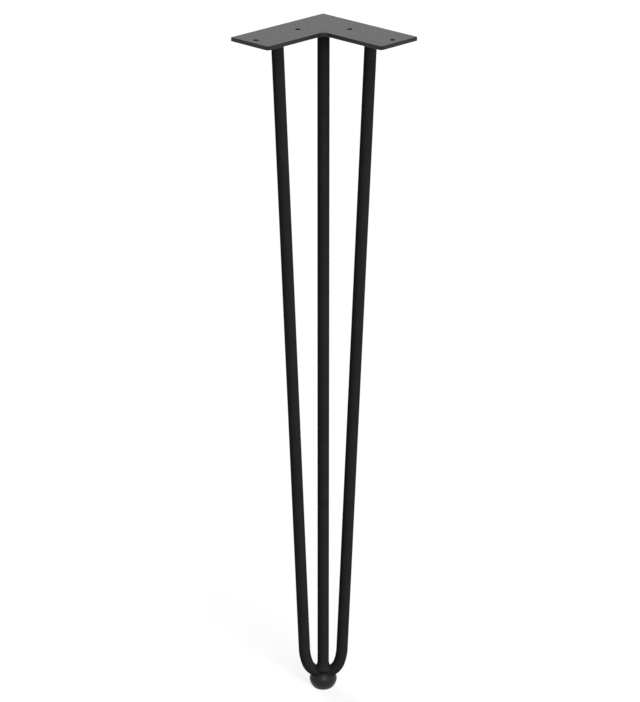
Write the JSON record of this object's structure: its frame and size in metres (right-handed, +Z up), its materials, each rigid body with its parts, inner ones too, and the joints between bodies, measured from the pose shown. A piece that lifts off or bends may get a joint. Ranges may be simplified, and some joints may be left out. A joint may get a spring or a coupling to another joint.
{
  "type": "hairpin table leg",
  "caption": "Hairpin table leg: an L-shaped screw plate on slim round steel bars that run together into a welded U bend, with a ball-like push-on foot.",
  "frame": {"origin": "on the mounting face, where the two arms' centre lines cross, straight above the foot", "axes": "+Z up out of the mounting face, X left to right across the arms' ends, +Y towards the plate's outer corner"},
  "size_m": [0.1762, 0.1217, 0.72],
  "materials": {
    "coated_plate": "satin black powder coat on steel plate",
    "coated_rod": "satin black powder coat on round steel bar",
    "coated_weld": "satin black powder coat over weld beads",
    "foot_rubber": "moulded black rubber, slight sheen"
  },
  "bodies": {
    "root": {"mounting_plate": "coated_plate", "hairpin_rod": "coated_rod", "corner_rod": "coated_rod", "plate_weld_left": "coated_weld", "plate_weld_right": "coated_weld", "plate_weld_corner": "coated_weld", "foot_weld": "coated_weld", "foot_cap": "foot_rubber"}
  },
  "joints": []
}
